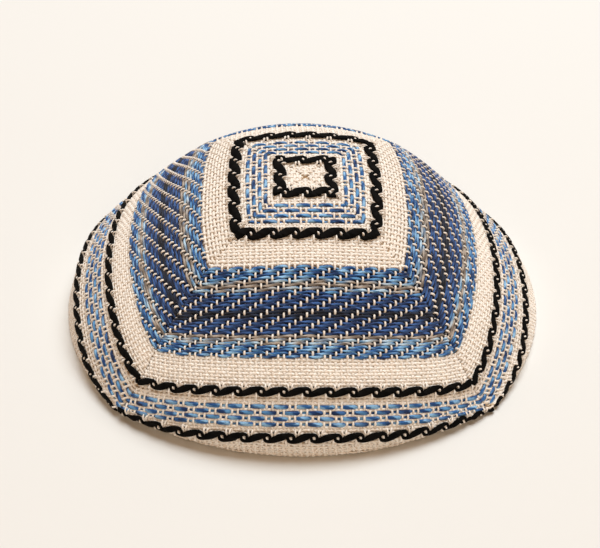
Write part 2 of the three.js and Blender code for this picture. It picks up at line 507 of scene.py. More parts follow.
@dataclass
class YarnBundle:
    """Yarns of one kind that become one mesh."""

    name: str
    sides: int
    runs: list[Run] = field(default_factory=list)

    def mesh(self, form: GoreForm) -> bpy.types.Mesh:
        """Builds the yarns as closed tubes over the form.

        Args:
            form: the gore's surface.

        Returns:
            The mesh, with its colours and its two UV maps.
        """
        runs = [run for run in self.runs if len(run.along) > 2]
        counts = np.array([len(run.along) for run in runs])
        starts = np.concatenate([[0], np.cumsum(counts)[:-1]])
        joined = {
            name: np.concatenate([getattr(run, name) for run in runs])
            for name in ("along", "row", "lift", "half_width", "half_height", "tone", "ply")
        }
        centres, outward = form.locate(joined["along"], joined["row"], joined["lift"])
        total = len(centres)
        first = np.zeros(total, bool)
        first[starts] = True
        last = np.zeros(total, bool)
        last[starts + counts - 1] = True
        ahead = np.where(last[:, None], centres, np.roll(centres, -1, 0))
        behind = np.where(first[:, None], centres, np.roll(centres, 1, 0))
        tangent = unit(ahead - behind)
        side = unit(np.cross(tangent, outward))
        up = np.cross(side, tangent)
        angles = np.arange(self.sides) * 2 * math.pi / self.sides + math.pi / 2
        ring = (
            centres[:, None]
            + side[:, None] * (joined["half_width"][:, None] * np.cos(angles))[..., None]
            + up[:, None] * (joined["half_height"][:, None] * np.sin(angles))[..., None]
        )
        # The soft yarns that the cap rests on are pressed flat.
        ring[..., 2] = np.maximum(ring[..., 2], 0)
        vertices = ring.reshape(-1, 3) * MILLIMETRE
        from_ring = np.flatnonzero(~last)
        column = np.arange(self.sides)
        after = (column + 1) % self.sides
        base = from_ring[:, None] * self.sides
        quads = np.stack(
            [base + column, base + after, base + self.sides + after, base + self.sides + column], -1
        )
        first_caps = starts[:, None] * self.sides + column[::-1]
        last_caps = (starts + counts - 1)[:, None] * self.sides + column
        caps = np.concatenate([first_caps, last_caps])
        steps = np.linalg.norm(centres - behind, axis=1)
        walked = np.cumsum(steps)
        walked = walked - np.repeat(walked[starts], counts) + np.repeat(starts * 0.37, counts)
        here, there = walked[from_ring], walked[from_ring + 1]
        yarn_u = np.stack([here, here, there, there], -1)
        yarn_u = np.repeat(yarn_u[:, None], self.sides, 1)
        low, high = column / self.sides, (column + 1) / self.sides
        yarn_v = np.broadcast_to(np.stack([low, high, high, low], -1), yarn_u.shape)
        yarn = np.stack([yarn_u, yarn_v], -1).reshape(-1, 2)
        bake = bake_layout(len(from_ring), self.sides)
        cap_uv = np.zeros((caps.size, 2)) + 0.001
        mesh = mesh_of(
            self.name,
            vertices,
            [quads.reshape(-1, 4), caps],
            {"yarn": np.concatenate([yarn, cap_uv]), "OFBake": np.concatenate([bake, cap_uv])},
        )
        for name in ("tone", "ply"):
            colours = np.concatenate([joined[name], np.ones((total, 1))], 1)
            add_colours(mesh, name, np.repeat(colours, self.sides, 0))
        return mesh


def bake_layout(rings: int, sides: int) -> Array:
    """Lays the tubes' faces out in lines of a square, for baking.

    Args:
        rings: how many rings of faces there are.
        sides: faces in a ring.

    Returns:
        One UV position for each face corner.
    """
    lines = max(1, math.ceil(math.sqrt(rings * sides / 24)))
    length = math.ceil(rings / lines)
    index = np.arange(rings)
    line, place = index // length, index % length
    left = (place / length)[:, None] + np.zeros(sides)
    right = ((place + 1) / length)[:, None] + np.zeros(sides)
    share = np.arange(sides) / sides * 0.94 + 0.03
    low = (line[:, None] + share) / lines
    high = (line[:, None] + share + 0.94 / sides) / lines
    corners_u = np.stack([left, left, right, right], -1)
    corners_v = np.stack([low, high, high, low], -1)
    return np.stack([corners_u, corners_v], -1).reshape(-1, 2)


def mesh_of(name: str, vertices: Array, polygons: list[Array], maps: dict[str, Array]) -> bpy.types.Mesh:
    """Makes a smooth mesh from arrays.

    Args:
        name: the mesh's name.
        vertices: corner points in metres.
        polygons: arrays of corner numbers, each with its own count of corners.
        maps: UV maps, one position for each face corner.

    Returns:
        The mesh.
    """
    mesh = bpy.data.meshes.new(name)
    mesh.vertices.add(len(vertices))
    mesh.vertices.foreach_set("co", np.ascontiguousarray(vertices, np.float32).ravel())
    corners = np.concatenate([block.ravel() for block in polygons]).astype(np.int32)
    sizes = np.concatenate([np.full(len(block), block.shape[1]) for block in polygons])
    mesh.loops.add(len(corners))
    mesh.loops.foreach_set("vertex_index", corners)
    mesh.polygons.add(len(sizes))
    mesh.polygons.foreach_set("loop_start", (np.cumsum(sizes) - sizes).astype(np.int32))
    mesh.update(calc_edges=True)
    mesh.validate()
    mesh.polygons.foreach_set("use_smooth", np.ones(len(sizes), bool))
    for map_name, values in maps.items():
        layer = mesh.uv_layers.new(name=map_name)
        layer.data.foreach_set("uv", np.ascontiguousarray(values, np.float32).ravel())
    mesh.update()
    return mesh


def add_colours(mesh: bpy.types.Mesh, name: str, colours: Array) -> None:
    """Adds a colour to each corner point of a mesh.

    Args:
        mesh: the mesh.
        name: the colour's name, which a material reads it by.
        colours: linear red, green, blue and one, for each point.
    """
    layer = mesh.attributes.new(name, "FLOAT_COLOR", "POINT")
    layer.data.foreach_set("color", np.ascontiguousarray(colours, np.float32).ravel())


def add_node(
    tree: bpy.types.NodeTree,
    kind: str,
    settings: dict[str | int, object],
    links: dict[str | int, bpy.types.NodeSocket],
) -> bpy.types.Node:
    """Adds a node with its settings and links.

    Args:
        tree: the material's node tree.
        kind: the node's type name.
        settings: attributes of the node, or values of its inputs by name or number.
        links: inputs by name or number, with the output socket that feeds each.

    Returns:
        The node.
    """
    node = tree.nodes.new(kind)
    for key, value in settings.items():
        if isinstance(key, int) or key in node.inputs:
            node.inputs[key].default_value = value
        else:
            setattr(node, key, value)
    for key, socket in links.items():
        tree.links.new(socket, node.inputs[key])
    return node


class Weave(Enum):
    """How a band of rows is woven."""

    PLAIN = "plain weave, one over and one under"
    CORD = "plain weave under a black scrolled cord"
    BRICK = "blue floats over two warps, with a plain row between"
    TWILL = "blue floats over three warps, stepping one warp a row"


@dataclass(frozen=True)
class Band:
    """Rows of one weave between two places of the row scale."""

    weave: Weave
    start: float
    end: float
    rows: int


# From the crown to the foot of the outer black cord, as counted on the front gore
BANDS = (
    Band(Weave.PLAIN, 0.010, 0.693, 6),
    Band(Weave.CORD, 0.693, 1.138, 4),
    Band(Weave.PLAIN, 1.138, 1.289, 2),
    Band(Weave.BRICK, 1.289, 1.739, 7),
    Band(Weave.PLAIN, 1.739, 1.869, 2),
    Band(Weave.CORD, 1.869, 2.166, 3),
    Band(Weave.PLAIN, 2.166, 2.964, 8),
    Band(Weave.TWILL, 2.964, 4.994, 26),
    Band(Weave.PLAIN, 4.994, 5.803, 8),
    Band(Weave.CORD, 5.803, 6.087, 3),
    Band(Weave.PLAIN, 6.087, 6.222, 2),
    Band(Weave.BRICK, 6.222, 6.612, 7),
    Band(Weave.PLAIN, 6.612, 6.752, 2),
    Band(Weave.CORD, 6.752, 7.040, 3),
)
SKIRT_ROW = 1.45  # millimetres from one row to the next below the outer cord
HEM_ROWS = 3  # woven rows that are carried round the rim's fold and inside it


class Dye(Enum):
    """Colours of the cotton, as the two plies of a yarn. In the blue and grey dyes the light and dark
    plies are two-tone dye and also painted highlight and shade.
    """

    CREAM = ("#fbf7f0", "#f8eee2")
    LIGHT = ("#94c6ef", "#2a66a8")
    MID = ("#5f9bd0", "#133f7c")
    DARK = ("#3568a8", "#0c2956")
    NAVY = ("#3a619f", "#122a55")
    MIDNIGHT = ("#17263f", "#080f20")
    GREY = ("#b5aa9f", "#776c62")
    SKY = ("#b9d9f0", "#6293c0")
    BLACK = ("#0d0c0b", "#050505")

    def plies(self) -> tuple[Array, Array]:
        """Gives the two plies' linear colours."""
        return srgb(self.value[0]), srgb(self.value[1])


UNDYED = (Dye.CREAM, Dye.CREAM)

# The blue band's rows from the crown side: the dye of each, and the one that it drifts to
BAND_ROWS = (
    (Dye.MID, Dye.LIGHT),
    (Dye.DARK, Dye.LIGHT),
    (Dye.DARK, Dye.MID),
    (Dye.MID, Dye.LIGHT),
    (Dye.GREY, Dye.SKY),
    (Dye.GREY, Dye.GREY),
    (Dye.GREY, Dye.SKY),
    (Dye.NAVY, Dye.MID),
    (Dye.NAVY, Dye.NAVY),
    (Dye.NAVY, Dye.NAVY),
    (Dye.NAVY, Dye.NAVY),
    (Dye.NAVY, Dye.NAVY),
    (Dye.MIDNIGHT, Dye.MIDNIGHT),
    (Dye.MIDNIGHT, Dye.MIDNIGHT),
    (Dye.MIDNIGHT, Dye.NAVY),
    (Dye.NAVY, Dye.NAVY),
    (Dye.NAVY, Dye.NAVY),
    (Dye.NAVY, Dye.NAVY),
    (Dye.NAVY, Dye.NAVY),
    (Dye.GREY, Dye.GREY),
    (Dye.GREY, Dye.SKY),
    (Dye.SKY, Dye.GREY),
    (Dye.LIGHT, Dye.MID),
    (Dye.MID, Dye.LIGHT),
    (Dye.DARK, Dye.LIGHT),
    (Dye.DARK, Dye.LIGHT),
)
BRICK_ROWS = (
    (Dye.MID, Dye.LIGHT),
    (Dye.DARK, Dye.MID),
    (Dye.LIGHT, Dye.MID),
    (Dye.DARK, Dye.LIGHT),
)


@dataclass(frozen=True)
class WeftSize:
    """A weft's half sizes, its swing over and under the warps, and its lift, in millimetres."""

    half_width: float
    half_height: float
    swing: float
    lift: float


PLAIN_WEFT = WeftSize(0.54, 0.25, 0.22, 0.04)
SKIRT_WEFT = WeftSize(0.49, 0.25, 0.22, 0.04)
TWILL_WEFT = WeftSize(0.44, 0.34, 0.36, 0.10)
BRICK_WEFT = WeftSize(0.62, 0.34, 0.36, 0.10)


@dataclass(frozen=True)
class Wander:
    """A smooth seeded change along a yarn: how far apart its free values lie, and its size."""

    reach: float
    size: float


# How hand-spun yarns wander: sways and rises in millimetres, slubs and dyes as shares
WEFT_SWAY = Wander(5.0, 0.07)
WEFT_RISE = Wander(2.5, 0.05)
WEFT_SLUBS = Wander(2.0, 0.09)
WARP_SWAY = Wander(4.0, 0.10)
WARP_SLUBS = Wander(1.5, 0.12)
DYE_SHARE = Wander(3.5, 0.9)
DYE_DEPTH = Wander(3.0, 0.06)


@dataclass(frozen=True)
class Row:
    """One weft row: where it lies, which warps pass over it, its dyes and its size."""

    place: float
    weave: Weave
    raised: tuple[int, ...]
    blue: bool
    dyes: tuple[Dye, Dye]
    size: WeftSize


@dataclass(frozen=True)
class Cord:
    """A black scrolled cord: its middle's place, where one eye lies along it, and how full it is."""

    place: float
    eye: float
    fullness: float


CORDS = (
    Cord(0.9452, 0.6, 1.32),
    Cord(2.0143, -3.3, 1.28),
    Cord(5.9538, 0.0, 0.97),
    Cord(6.8950, 2.4, 0.97),
)

# One unit of the scroll, in millimetres from its eye: along, towards the crown, half width, lift
ARCH = np.array(
    [
        [-5.10, -0.48, 1.00, 0.70],
        [-4.20, -0.18, 1.10, 0.85],
        [-3.30, 0.20, 1.18, 0.95],
        [-2.30, 0.50, 1.10, 1.00],
        [-1.30, 0.80, 0.84, 1.00],
        [-0.40, 1.00, 0.66, 1.00],
        [0.38, 0.90, 0.52, 1.00],
        [0.88, 0.35, 0.46, 0.95],
        [0.92, -0.35, 0.48, 0.90],
        [1.12, -0.78, 0.68, 0.85],
        [1.90, -0.62, 0.90, 0.75],
    ]
)
BOWL = np.array(
    [
        [-1.06, 0.55, 0.46, 0.70],
        [-0.98, -0.10, 0.46, 0.75],
        [-0.74, -0.75, 0.54, 0.75],
        [0.00, -1.08, 0.56, 0.75],
        [1.00, -0.96, 0.70, 0.80],
        [2.00, -0.60, 0.96, 0.80],
        [3.00, -0.22, 1.08, 0.75],
        [3.90, 0.10, 1.08, 0.65],
    ]
)
# The black weft's small loop between two ticks, in the same columns
LOOP = np.array([[1.62, 1.56, 0.18, 0.45], [1.88, 1.56, 0.26, 0.60], [2.14, 1.56, 0.18, 0.45]])
STROKES = ((ARCH, 26), (BOWL, 18), (LOOP, 5))  # with how many points each is drawn by
SCROLL_SWELL = 0.05  # how much larger or smaller a unit can be, as a share
SCROLL_NUDGE = 0.12
CORD_HALF_HEIGHT = 0.50
# Cream warps that show through the scroll: along and towards the crown, at both ends of each
EYES = (
    ((-0.32, 0.50), (0.30, -0.52)),
    ((1.22, 2.30), (1.50, 0.30)),
    ((2.60, 2.30), (2.22, 0.62)),
    ((-1.55, -2.40), (-1.46, -0.12)),
)
EYE_HALF_WIDTH = 0.24
EYE_HALF_HEIGHT = 0.26
EYE_WIDENING = 0.08  # what the bulge in its middle adds to the half width
EYE_LIFT = 0.35
EYE_BULGE = 0.85


def rows_above_rim(phase: int, turned: bool) -> list[Row]:
    """Lists a gore's weft rows from the crown to the foot of the outer cord.

    Args:
        phase: which warp the patterns start from.
        turned: whether the cloth was cut upside down, which turns every pattern by half a turn.

    Returns:
        The rows.
    """
    rows: list[Row] = []
    for band in BANDS:
        step = (band.end - band.start) / band.rows
        for index in range(band.rows):
            place = band.start + step * (index + 0.5)
            order = band.rows - 1 - index if turned else index
            count = len(rows)
            if band.weave is Weave.TWILL:
                tick = (phase - index) % 4
                raised = {tick}
                if index == 0:
                    raised.add((tick + 1) % 4)
                if index == band.rows - 1:
                    raised.add((tick - 1) % 4)
                dyes = BAND_ROWS[order]
                rows.append(Row(place, band.weave, tuple(raised), True, dyes, TWILL_WEFT))
            elif band.weave is Weave.BRICK and index % 2 == 0:
                offset = (phase + 2 * (index // 2 % 2)) % 4
                raised = (offset, (offset + 1) % 4)
                dyes = BRICK_ROWS[order // 2]
                rows.append(Row(place, band.weave, raised, True, dyes, BRICK_WEFT))
            else:
                raised = (count % 2, count % 2 + 2)
                rows.append(Row(place, band.weave, raised, False, UNDYED, PLAIN_WEFT))
    return rows


@dataclass(frozen=True)
class Slab:
    """Arrays of a thin closed sheet: points in millimetres, quads, cloth positions and colours."""

    points: Array
    quads: Array
    flat: Array
    tones: Array


@dataclass
class Gore:
    """One gore of the cap: its yarns, its sheet of cloth, and the turned edges inside it."""

    name: str
    turn: float
    turned: bool
    phase: int
    seed: int
    half_width: float
    crown_height: float
    shift: Array
    form: GoreForm = field(init=False)
    rng: np.random.Generator = field(init=False)

    def __post_init__(self) -> None:
        """Prepares the form and the seeded numbers."""
        self.form = GoreForm(self.turn, self.half_width, self.crown_height, self.shift)
        self.rng = np.random.default_rng(self.seed)

    def drift(self, along: Array, wander: Wander) -> Array:
        """Gives a seeded smooth wander along a yarn.

        Args:
            along: positions in millimetres.
            wander: how far apart the free values lie, and how far it goes to each side.

        Returns:
            One value for each position.
        """
        knots = np.arange(*LONGEST_YARN, wander.reach)
        values = self.rng.uniform(-wander.size, wander.size, len(knots))
        return np.interp(along, knots, values)

    def rows(self) -> list[Row]:
        """Lists all the weft rows, with those of the skirt and of the hem.

        Returns:
            The rows from the crown down.
        """
        rows = rows_above_rim(self.phase, self.turned)
        longest = float(self.form.skirts.max()) + HEM_ROWS * SKIRT_ROW + math.pi * HEM_FOLD
        for index in range(int(longest / SKIRT_ROW)):
            raised = (len(rows) % 2, len(rows) % 2 + 2)
            place = HEM_PLACE + (index + 0.5) * SKIRT_ROW / PLACE_TO_MM
            rows.append(Row(place, Weave.PLAIN, raised, False, UNDYED, SKIRT_WEFT))
        return rows

    def inside(self, along: Array, row: Array) -> Array:
        """Tells which cloth positions lie on this gore, and not too far past the rim.

        Args:
            along: millimetres along the stripe.
            row: positions on the row scale.

        Returns:
            True for each position that does.
        """
        place, _, past_rim = self.form.placed(along, row)
        limit = math.pi * HEM_FOLD + HEM_ROWS * SKIRT_ROW * 0.5
        return (np.abs(along) < self.form.half_length(place)) & (past_rim < limit)

    def split(self, run: Run) -> list[Run]:
        """Cuts a yarn into the parts that lie on this gore.

        Args:
            run: the whole yarn.

        Returns:
            The parts.
        """
        kept = self.inside(run.along, run.row)
        place, _, _ = self.form.placed(run.along, run.row)
        beyond = np.abs(run.along) - self.form.half_length(place)
        edges = np.flatnonzero(np.diff(np.concatenate([[False], kept, [False]]).astype(int)))
        parts = []
        for start, end in zip(edges[::2], edges[1::2]):
            if end - start < 2:
                continue
            values = {name: getattr(run, name)[start:end] for name in Run.__dataclass_fields__}
            # Where a yarn crosses the seam, it ends on the seam's own line.
            for inner, outer in ((start, start - 1), (end - 1, end)):
                if 0 <= outer < len(beyond) and beyond[outer] > 0:
                    share = -beyond[inner] / (beyond[outer] - beyond[inner])
                    for name in values:
                        whole = getattr(run, name)
                        cut = (whole[inner] + (whole[outer] - whole[inner]) * share)[None]
                        joined = (cut, values[name]) if outer < inner else (values[name], cut)
                        values[name] = np.concatenate(joined)
            parts.append(Run(**values))
        return parts

    def dyed(self, along: Array, dyes: tuple[Dye, Dye]) -> tuple[Array, Array]:
        """Gives a yarn's two ply colours along its length.

        Args:
            along: positions in millimetres.
            dyes: the dye, and the one that it drifts to.

        Returns:
            Linear colours of both plies.
        """
        if dyes[0] is dyes[1]:
            share = 0 * along
        else:
            share = np.clip(0.5 + self.drift(along, DYE_SHARE), 0, 1)
        brightness = 1 + self.drift(along, DYE_DEPTH)
        first, second = dyes[0].plies(), dyes[1].plies()
        mixed = [a + (b - a) * share[:, None] for a, b in zip(first, second)]
        return mixed[0] * brightness[:, None], mixed[1] * brightness[:, None]

    def weft(self, row: Row) -> Run:
        """Lays one weft: over the lowered warps and under the raised ones.

        Args:
            row: the row's place, pattern, dyes and size.

        Returns:
            The weft's run over the whole stripe.
        """
        reach = self.form.reach(row.place) + 2
        last = int(reach / WARP_PITCH) + 1
        parts = 3 if row.blue else 2
        steps = np.arange(-last * parts, last * parts + 1)
        position = steps / parts
        warp = np.floor(position).astype(int)
        share = position - warp
        raised = np.isin(np.arange(-last - 1, last + 3) % 4, row.raised)
        here = raised[warp + last + 1]
        after = raised[warp + last + 2]
        level_here, level_after = np.where(here, -1.0, 1.0), np.where(after, -1.0, 1.0)
        bent = np.where(here, 1 - (1 - share) ** DIP_TIGHTNESS, share**DIP_TIGHTNESS)
        level = level_here + (level_after - level_here) * (0.5 - 0.5 * np.cos(math.pi * bent))
        along = position * WARP_PITCH
        lift = row.size.swing * level + row.size.lift + self.drift(along, WEFT_RISE)
        swell = WEFT_HALF_WAY + WEFT_WIDENING * level
        width = row.size.half_width * swell * (1 + self.drift(along, WEFT_SLUBS))
        if row.weave is Weave.TWILL:
            # Each float is a spindle that leans up to its right end.
            phase_along = (position - row.raised[0]) % 4
            width = width * (FLOAT_ENDS + FLOAT_BELLY * np.sin(math.pi * phase_along / 4))
            lean = FLOAT_LEAN * np.sin((phase_along - 2) / 4 * 2 * math.pi)
        else:
            lean = 0 * along
        sway = lean + self.drift(along, WEFT_SWAY)
        well_inside = np.clip(along, -reach + 3, reach - 3)
        rows = row.place - sway * self.form.row_step(well_inside, 0 * along + row.place)
        tone, ply = self.dyed(along, row.dyes)
        height = row.size.half_height + 0 * along
        return Run(along, rows, lift, width, height, tone, ply)

    def warp(self, index: int, rows: list[Row]) -> Run:
        """Lays one warp: over the rows that raise it and under the others.

        Args:
            index: the warp's number, counted from the gore's middle.
            rows: all the weft rows.

        Returns:
            The warp's run from the crown to the hem.
        """
        raised = np.array([index % 4 in row.raised for row in rows])
        places = np.array([row.place for row in rows])
        blue = np.array([row.blue for row in rows])
        corded = np.array([row.weave is Weave.CORD for row in rows])
        peak = np.where(blue, TICK_PEAK, WARP_PEAK)
        low = np.where(blue, TICK_DIP, WARP_DIP)
        level = np.where(raised, peak, low)
        level = np.where(corded, np.minimum(level, PEAK_UNDER_CORD), level)
        higher, lower = np.maximum(level[:-1], level[1:]), np.minimum(level[:-1], level[1:])
        middle_level = higher * 0.80 + lower * 0.20
        count = 2 * len(rows) - 1
        row = np.empty(count)
        lift = np.empty(count)
        row[0::2] = places
        row[1::2] = (places[:-1] + places[1:]) / 2
        lift[0::2] = level
        lift[1::2] = middle_level
        keep = np.ones(count, bool)
        keep[1::2] = raised[:-1] | raised[1:]
        broad = np.empty(count)
        broad[0::2] = np.where(blue, TICK_HALF_WIDTH, WARP_HALF_WIDTH)
        broad[1::2] = np.where(blue[:-1] | blue[1:], NECK_HALF_WIDTH, WARP_HALF_WIDTH)
        row, lift, broad = row[keep], lift[keep], broad[keep]
        millimetres = np.arange(len(row)) * WARP_SAMPLE
        along = index * WARP_PITCH + self.drift(millimetres, WARP_SWAY)
        width = broad * (1 + self.drift(millimetres, WARP_SLUBS))
        height = WARP_HALF_HEIGHT + 0 * along
        tone, ply = self.dyed(millimetres, UNDYED)
        return Run(along, row, lift, width, height, tone, ply)

    def scroll(self, cord: Cord) -> tuple[list[Run], list[Run]]:
        """Lays the units of one black cord and the warps that show through it.

        Args:
            cord: the cord's place and the position of one eye.

        Returns:
            Black runs and cream runs.
        """
        black: list[Run] = []
        cream: list[Run] = []
        way = -1.0 if self.turned else 1.0
        table = RiseTable(self.form, cord.place)
        eyes = np.arange(-20, 21) * REPEAT + cord.eye * way
        for eye in eyes[np.abs(eyes) < table.reach + REPEAT]:
            swell = 1 + self.rng.uniform(-SCROLL_SWELL, SCROLL_SWELL)
            full = cord.fullness * swell
            nudge = self.rng.uniform(-SCROLL_NUDGE, SCROLL_NUDGE)
            for line, count in STROKES:
                path = smooth_path(line, count)
                along = eye + way * path[:, 0] * swell + nudge
                row = table.row(along, way * path[:, 1] * full)
                tone, ply = self.dyed(along, (Dye.BLACK, Dye.BLACK))
                height = np.minimum(CORD_HALF_HEIGHT, path[:, 2])
                black.append(Run(along, row, path[:, 3], path[:, 2] * full, height, tone, ply))
            for (from_x, from_y), (to_x, to_y) in EYES:
                share = np.linspace(0, 1, 7)
                along = eye + way * (from_x + (to_x - from_x) * share) + nudge
                row = table.row(along, way * (from_y + (to_y - from_y) * share) * full)
                bulge = np.sin(math.pi * np.clip(share * 0.9 + 0.1, 0, 1))
                lift = EYE_LIFT + EYE_BULGE * bulge
                width = EYE_HALF_WIDTH + EYE_WIDENING * bulge
                height = EYE_HALF_HEIGHT + 0 * along
                tone, ply = self.dyed(along, UNDYED)
                cream.append(Run(along, row, lift, width, height, tone, ply))
        return black, cream

    def build_yarns(self) -> list[bpy.types.Mesh]:
        """Builds the meshes of this gore's warps, undyed wefts, dyed wefts and black cords.

        Returns:
            The four meshes.
        """
        rows = self.rows()
        warps = YarnBundle(f"{self.name}_warps", YARN_SIDES)
        undyed = YarnBundle(f"{self.name}_undyed_wefts", YARN_SIDES)
        dyed = YarnBundle(f"{self.name}_dyed_wefts", YARN_SIDES)
        cords = YarnBundle(f"{self.name}_black_cords", CORD_SIDES)
        widest = int(self.form.widths.max() / WARP_PITCH)
        for index in range(-widest, widest + 1):
            warps.runs += self.split(self.warp(index, rows))
        for row in rows:
            (dyed if row.blue else undyed).runs += self.split(self.weft(row))
        for cord in CORDS:
            black, cream = self.scroll(cord)
            for run in black:
                cords.runs += self.split(run)
            for run in cream:
                warps.runs += self.split(run)
        return [bundle.mesh(self.form) for bundle in (warps, undyed, dyed, cords)]

    def slab(self, along: Array, row: Array, top: Array, bottom: Array, tone: Array) -> Slab:
        """Builds a thin closed sheet over a grid of cloth positions.

        Args:
            along: grid of millimetres along the stripes.
            row: grid of positions on the row scale.
            top: lift of the upper face.
            bottom: lift of the lower face.
            tone: linear colours, one for all or one for each position.

        Returns:
            The sheet's arrays.
        """
        upper, _ = self.form.locate(along, row, top + 0 * along)
        lower, _ = self.form.locate(along, row, bottom + 0 * along)
        down, wide = along.shape
        number = np.arange(down * wide).reshape(down, wide)
        size = down * wide
        corners = [number[:-1, :-1], number[:-1, 1:], number[1:, 1:], number[1:, :-1]]
        quads = np.stack(corners, -1).reshape(-1, 4)
        under = quads[:, ::-1] + size
        edges = [number[0, :-1], number[:-1, -1], number[-1, :0:-1], number[:0:-1, 0]]
        border = np.concatenate(edges)
        following = np.roll(border, -1)
        rim = np.stack([following, border, border + size, following + size], -1)
        flat = np.stack([along.ravel() / WARP_PITCH, row.ravel() / WEFT_STEP], -1)
        colours = np.ones((size, 4))
        colours[:, :3] = tone
        return Slab(
            np.concatenate([upper.reshape(-1, 3), lower.reshape(-1, 3)]),
            np.concatenate([quads, under, rim]),
            np.concatenate([flat, flat]),
            np.concatenate([colours, colours]),
        )

    def ground(self) -> Slab:
        """Lays the packed fibres that close the gaps between the yarns, down to the outer cord, toned as
        painted shade in those gaps.

        Returns:
            The sheet's arrays.
        """
        shares, row = np.meshgrid(np.linspace(-1, 1, 41), np.linspace(0.03, HEM_PLACE, 90))
        along = (self.form.half_length(row + sag(row, shares)) + SEAM_OVERLAP) * shares
        # The tan and dark navy tones are painted shade in the gaps between the yarns.
        navy_shaded = ((row > NAVY_GAP_SHADE_START) & (row < NAVY_GAP_SHADE_END)).ravel()[:, None]
        tone = np.where(navy_shaded, srgb(NAVY_GAP_SHADE_TONE), srgb(GAP_SHADE_TONE))
        return self.slab(along, row, np.array(SHEET_TOP), np.array(SHEET_BOTTOM), tone)

    def hem(self) -> Slab:
        """Lays the same below the outer cord, round the rim's fold and up inside it.

        Returns:
            The sheet's arrays.
        """
        across = np.linspace(-1, 1, 61)
        skirt = np.interp(across, self.form.skirt_across, self.form.skirts)
        down = np.concatenate(
            [skirt * np.linspace(0, 1, 9)[:, None], skirt + np.linspace(0.3, HEM_DEPTH, 16)[:, None]]
        )
        row = HEM_PLACE + down / PLACE_TO_MM
        place, _, _ = self.form.placed(0 * row + across * RIM_HALF_STRIPE, row)
        past = np.maximum(down - skirt, 0)
        thick = np.clip(past / HEM_THICKENS_OVER, 0, 1)
        # Inside the rim the layer stops short of the seam, as a mitred hem does.
        along = across * (self.form.half_length(place) + SEAM_OVERLAP - HEM_MITRE * thick)
        # Up to the turn inside the rim the tone is tan painted shade for the gaps; further in it is the
        # inside's own tone.
        inner = (past.ravel() > HEM_INSIDE_FROM)[:, None]
        tone = np.where(inner, srgb(INSIDE_TONE), srgb(GAP_SHADE_TONE))
        top = SHEET_TOP + HEM_TOP_RISE * thick
        bottom = SHEET_BOTTOM - HEM_BOTTOM_DROP * thick
        return self.slab(along, row, top, bottom, tone)

    def allowance(self, side: int) -> Slab:
        """Lays a seam allowance, pressed flat against the inside of the gore.

        Args:
            side: -1 or 1, the seam that it belongs to.

        Returns:
            The sheet's arrays.
        """
        rows = np.linspace(ALLOWANCE_START, ALLOWANCE_END, 70)
        edge = np.linspace(0, 1, 8)
        half = self.form.half_length(rows + sag(rows, 1 + 0 * rows))
        width = np.minimum(ALLOWANCE_WIDTH, half * ALLOWANCE_OF_HALF)
        along = side * (half[:, None] - width[:, None] * edge)
        crown = np.sqrt(np.sin(math.pi * edge).clip(0)) * ALLOWANCE_CROWNING
        row = rows[:, None] + 0 * edge
        bottom = ALLOWANCE_BOTTOM - crown + 0 * along
        return self.slab(along, row, np.array(ALLOWANCE_TOP), bottom, srgb(INSIDE_TONE))

    def build_cloth(self) -> bpy.types.Mesh:
        """Builds the gore's sheet of cloth under its yarns, with its turned edges, as one mesh.

        Returns:
            The mesh, with its colours and its UV map.
        """
        slabs = [self.ground(), self.hem(), self.allowance(-1), self.allowance(1)]
        starts = np.cumsum([0] + [len(slab.points) for slab in slabs])
        polygons = np.concatenate([slab.quads + start for slab, start in zip(slabs, starts)])
        flat = np.concatenate([slab.flat for slab in slabs])[polygons.ravel()]
        points = np.concatenate([slab.points for slab in slabs]) * MILLIMETRE
        mesh = mesh_of(f"{self.name}_cloth", points, [polygons], {"cloth": flat})
        add_colours(mesh, "tone", np.concatenate([slab.tones for slab in slabs]))
        return mesh

    def flat_size(self) -> tuple[float, float, float]:
        """Gives the size that the gore was cut to, with its seam allowances and its hem.

        Returns:
            Width along the stripes and length across them in millimetres, and the flat area.
        """
        places = np.linspace(0, LAST, 161)
        middle = self.form.outer_face(places, 0 * places)
        steps = np.linalg.norm(np.diff(middle, axis=0), axis=1)
        half = self.form.half_length(places) + ALLOWANCE_WIDTH
        area = float((steps * (half[1:] + half[:-1])).sum() + 2 * half[-1] * HEM_DEPTH)
        return 2 * float(half.max()), float(steps.sum()) + HEM_DEPTH + ALLOWANCE_WIDTH, area


